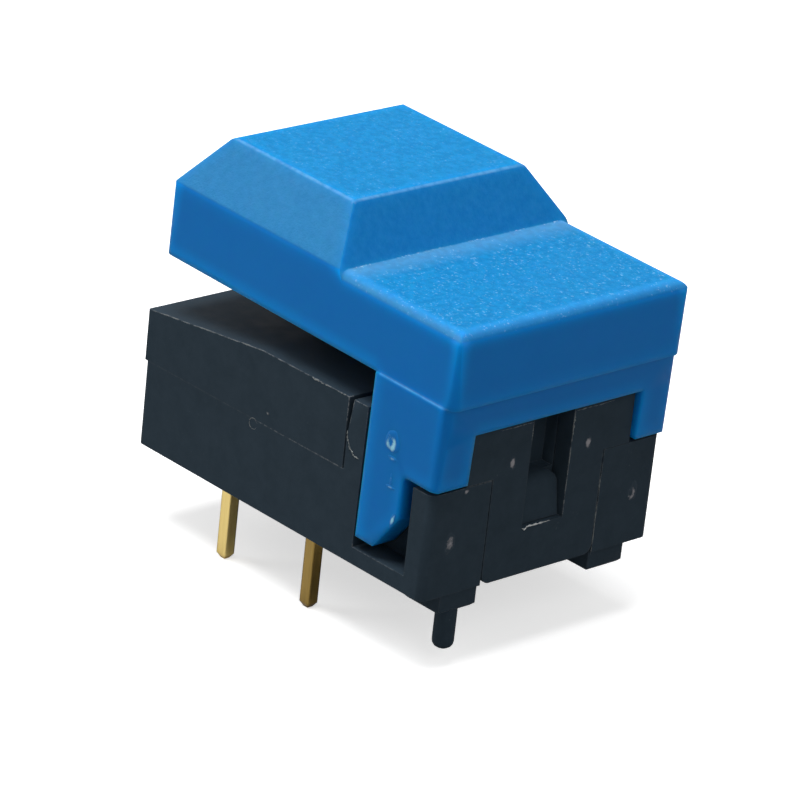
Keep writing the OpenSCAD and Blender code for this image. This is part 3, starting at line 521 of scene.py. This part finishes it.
class Marks:
    """One mesh of small marks that lie on one face of the plastic. Sizes in mm."""

    def __init__(self, seed, face):
        self.turn, origin = face
        self.origin = Vector(origin)
        self.random = random.Random(seed)
        self.points, self.faces, self.pale_share = [], [], []

    def place(self, u, v, w, pale_share=1.0):
        self.points.append((self.origin + self.turn @ Vector((u, v, w))) * MM)
        self.pale_share.append(pale_share)

    def blister(self, u, v, wide, high, lift, dent=0.0, lean=0.0, pale_share=0.9):
        """A low irregular swelling, palest in the middle, or round a dent in the middle if asked for."""
        wobble = [self.random.uniform(0, 6.28) for _ in range(4)]
        first = len(self.points)
        self.place(u, v, lift * (1 - dent), 0.3 * pale_share if dent else pale_share)
        for i in range(1, BLISTER_RINGS + 1):
            t = i / BLISTER_RINGS
            rise = lift * (1 - t ** 3) * (1 - dent * math.exp(-(2.2 * t) ** 2))
            if i == BLISTER_RINGS:
                rise -= BLISTER_RIM_SUNK
            for k in range(BLISTER_SIDES):
                a = 2 * math.pi * k / BLISTER_SIDES
                r = t * (1 + 0.10 * math.sin(2 * a + wobble[0]) + 0.08 * math.sin(3 * a + wobble[1])
                         + 0.05 * math.sin(5 * a + wobble[2]))
                x, y = r * wide / 2 * math.cos(a), r * high / 2 * math.sin(a)
                # Round a dent the pale ring is a painted highlight, brighter on one side
                if dent:
                    off_middle = math.hypot(r * math.cos(a) + 0.2, r * math.sin(a) + 0.15)
                    pale = math.exp(-((off_middle - 0.42) / 0.33) ** 2) * (0.75 + 0.25 * math.cos(a + 0.8))
                else:
                    pale = math.exp(-1.8 * r ** 2)
                pale *= 1 - t ** 6
                self.place(u + x + lean * y, v + y, rise, pale_share * pale)
        ring = first + 1
        self.faces += [(first, ring + k, ring + j) for k, j in around(BLISTER_SIDES)]
        for a in range(ring, ring + (BLISTER_RINGS - 1) * BLISTER_SIDES, BLISTER_SIDES):
            b = a + BLISTER_SIDES
            self.faces += [(a + k, b + k, b + j, a + j) for k, j in around(BLISTER_SIDES)]

    def ridge(self, path, radius, rough):
        """An irregular thread of flash along a path of (u, v) points, thin at both ends."""
        path = [Vector(point) for point in path]
        line = [a.lerp(b, s / RIDGE_STEPS) for a, b in zip(path, path[1:]) for s in range(RIDGE_STEPS)]
        line.append(path[-1])
        first, last = len(self.points), len(line) - 1
        for i, point in enumerate(line):
            along = (line[min(i + 1, last)] - line[max(i - 1, 0)]).normalized()
            across = Vector((-along.y, along.x))
            r = radius * (1 + rough * self.random.uniform(-1, 1))
            r *= min(1, *(RIDGE_END + RIDGE_GROWTH * steps / len(line) for steps in (i, last - i)))
            shift = radius * rough * self.random.uniform(-0.6, 0.6)
            for k in range(RIDGE_SIDES):
                a = 2 * math.pi * k / RIDGE_SIDES
                spot = point + across * (r * math.cos(a) + shift)
                self.place(spot.x, spot.y, r * math.sin(a))
        for a in range(first, first + last * RIDGE_SIDES, RIDGE_SIDES):
            b = a + RIDGE_SIDES
            self.faces += [(a + k, a + j, b + j, b + k) for k, j in around(RIDGE_SIDES)]

    def build(self, name, material, body):
        mesh = bpy.data.meshes.new(name)
        mesh.from_pydata(self.points, [], self.faces)
        mesh.materials.append(material)
        mesh.shade_smooth()
        mesh.attributes.new("pale_share", "FLOAT", "POINT").data.foreach_set("value", self.pale_share)
        piece = bpy.data.objects.new(name, mesh)
        bpy.context.scene.collection.objects.link(piece)
        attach(piece, body)


def arc(u, v, radius, start, end, steps):
    turns = [math.radians(start + (end - start) * i / steps) for i in range(steps + 1)]
    return [(u + radius * math.cos(a), v + radius * math.sin(a)) for a in turns]


# Threads of flash: a path of (u, v) points, and a radius
COVER_SCUFFS = [([(-7.6, 6.75), (-6.6, 6.87)], 0.016),
                ([(-5.6, 6.99), (-3.9, 7.18)], 0.011),
                ([(-3.1, 7.27), (-2.2, 7.37)], 0.020),
                ([(-1.6, 7.43), (-0.4, 7.43), (0.9, 7.43)], 0.013),
                ([(1.2, 7.43), (1.9, 7.42), (2.6, 7.43)], 0.026),
                ([(2.6, 7.43), (3.45, 7.43)], 0.017)]
SILL_BURR = [([(-1.06, 2.86), (-0.92, 2.78), (-0.78, 2.88), (-0.3, 2.87), (0.45, 2.87)], 0.028)]
FRONT_FLASH = [([(1.09, 7.30), (1.11, 7.0), (1.08, 6.8), (1.11, 6.4), (1.08, 6.0)], 0.024),
               ([(1.09, 5.7), (1.10, 5.2), (1.08, 4.9)], 0.014),
               ([(-1.09, 7.28), (-1.10, 7.0), (-1.09, 6.6)], 0.013),
               ([(1.1, 7.30), (1.6, 7.31), (2.2, 7.29), (3.2, 7.31)], 0.016),
               ([(-2.8, 7.30), (-2.0, 7.29), (-1.5, 7.31), (-1.1, 7.29)], 0.012),
               ([(2.95, 4.2), (2.94, 3.8), (2.96, 3.5)], 0.014),
               ([(2.95, 3.1), (2.94, 2.3), (2.96, 1.6), (2.95, 0.8)], 0.011)]


def make_lug_marks():
    """The sink mark over the hinge boss, and the smaller marks below it; their pale flecks are a painted
    highlight.
    """
    marks = Marks(3, LUG_FACE)
    marks.blister(6.14, 6.64, 0.80, 1.06, 0.035, dent=0.9, pale_share=1.3)
    marks.blister(6.22, 5.98, 0.55, 0.20, 0.015, pale_share=0.75)
    marks.blister(6.26, 4.82, 0.50, 0.18, 0.015, pale_share=0.8)
    marks.blister(6.28, 5.14, 0.20, 0.55, 0.01, pale_share=0.5)
    marks.blister(6.58, 3.58, 0.26, 0.66, 0.02, lean=0.35, pale_share=1.2)
    marks.build("lug_marks", BLUE_MARK, "key")


def make_front_marks():
    """Pale spots on the front of the housing, partly scuffs and partly painted glints."""
    marks = Marks(5, FRONT_FACE)
    marks.blister(-2.0, 5.80, 0.40, 0.62, 0.014, pale_share=1.25)
    marks.blister(2.0, 5.80, 0.44, 0.62, 0.014, pale_share=1.2)
    marks.blister(4.85, 3.1, 0.60, 0.90, 0.014, dent=0.6, pale_share=0.95)
    marks.blister(-4.85, 3.1, 0.58, 1.00, 0.014, lean=0.2, pale_share=0.95)
    marks.blister(-4.27, 5.12, 0.30, 0.26, 0.012, pale_share=1.2)
    marks.build("front_marks", PALE_MARK, "housing")


def make_side_flash():
    """An open ring, a speck and two torn threads on the side of the housing."""
    marks = Marks(7, SIDE_FACE)
    marks.ridge(arc(-1.74, 4.31, 0.23, 20, 340, 11), 0.011, 0.8)
    marks.blister(-0.95, 5.04, 0.16, 0.14, 0.012)
    marks.ridge([(3.58, 6.10), (3.62, 5.80), (3.76, 5.56)], 0.022, 0.8)
    marks.ridge([(3.72, 5.62), (3.80, 5.45), (3.98, 5.34), (4.04, 5.24), (4.36, 5.20)], 0.032, 0.9)
    marks.build("side_flash", FLASH, "housing")


def make_threads(name, seed, face, threads, material, rough):
    marks = Marks(seed, face)
    for path, radius in threads:
        marks.ridge(path, radius, rough)
    marks.build(name, material, "housing")


make_lug_marks()
make_front_marks()
make_side_flash()
make_threads("cover_scuffs", 17, COVER_RIM, COVER_SCUFFS, FLASH, 0.9)
make_threads("sill_burr", 11, FRONT_FACE, SILL_BURR, BURR, 0.6)
make_threads("front_flash", 13, FRONT_FACE, FRONT_FLASH, FLASH, 0.9)


# ------------------------------------------------------------------ stage and light

FLOOR_Z = cad_box[0][2]
FLOOR_REACH = 3.0

# How pale the floor is to bounced light, and how much paler to the camera and in polished metal
FLOOR_SHADE = 0.24
SEEN_PALER, MIRRORED_PALER = 0.64, 0.5

# The floor's glow to the camera near the object and away from it: a distance, and a strength
GLOW_NEAR, GLOW_FAR = (0.04, 0.6), (0.25, 1.0)

WORLD = 0.21
WORLD_MIRRORED = 0.35

# Where each light stands, as a direction from the point it is aimed at, and its power in watts
LIGHTS = {"key_light": ((-0.02, -0.22, 1.0), 2.1),
          "fill_light": ((0.9, -0.35, 0.7), 0.4),
          "side_light": ((-0.75, -0.55, 0.45), 0.6)}
LIGHTS_AIM = Vector((0, 0, 0.006))
LIGHT_DISTANCE = 0.5
LIGHT_SIZE = 0.3


def make_stage():
    """A plain floor, pale to the camera and to polished metal, and dimmer as a source of bounced light."""
    mesh = bpy.data.meshes.new("floor")
    corners = [(x * FLOOR_REACH, y * FLOOR_REACH, FLOOR_Z) for x, y in ((-1, -1), (1, -1), (1, 1), (-1, 1))]
    mesh.from_pydata(corners, [], [(0, 1, 2, 3)])
    floor = bpy.data.objects.new("floor", mesh)
    bpy.context.scene.collection.objects.link(floor)
    n = material_nodes("floor_paint")
    glow = n.ramp(n.vector("LENGTH", n.coords()), GLOW_NEAR, GLOW_FAR)
    ray = n.add("LightPath").outputs
    camera, mirror = ray["Is Camera Ray"], n.most(ray["Is Glossy Ray"], ray["Is Transmission Ray"])
    bright = n.math("ADD", n.total(FLOOR_SHADE, n.product(camera, SEEN_PALER)),
                    n.product(mirror, MIRRORED_PALER), clamp=True)
    mesh.materials.append(n.principled({
        "Base Color": n.mix(bright, (0, 0, 0), (1, 1, 1)), "Roughness": 0.9, "Specular IOR Level": 0.0,
        "Emission Color": (1, 1, 1, 1), "Emission Strength": n.product(camera, glow)}))


def make_world():
    """White to the camera, pale to polished metal, dim to everything else."""
    world = bpy.data.worlds.new("world")
    bpy.context.scene.world = world
    n = Nodes(world)
    ray = n.add("LightPath").outputs
    strength = WORLD
    for kind, share in (("Is Camera Ray", 1 - WORLD), ("Is Glossy Ray", WORLD_MIRRORED),
                        ("Is Transmission Ray", WORLD_MIRRORED)):
        inputs = {0: ray[kind], 1: share, 2: strength}
        strength = n.add("Math", inputs, operation="MULTIPLY_ADD").outputs[0]
    background = n.add("Background", {"Color": (1, 1, 1, 1), "Strength": strength})
    n.add("OutputWorld", {"Surface": background.outputs[0]})


def make_light(name, toward, power):
    at = LIGHTS_AIM + Vector(toward).normalized() * LIGHT_DISTANCE
    data = bpy.data.lights.new(name, "AREA")
    data.shape = "DISK"
    data.size = LIGHT_SIZE
    data.energy = power
    lamp = bpy.data.objects.new(name, data)
    lamp.location = at
    lamp.rotation_euler = (at - LIGHTS_AIM).to_track_quat("Z", "Y").to_euler()
    bpy.context.scene.collection.objects.link(lamp)


make_stage()
make_world()
for name, (toward, power) in LIGHTS.items():
    make_light(name, toward, power)

bpy.context.scene.view_settings.view_transform = "Standard"
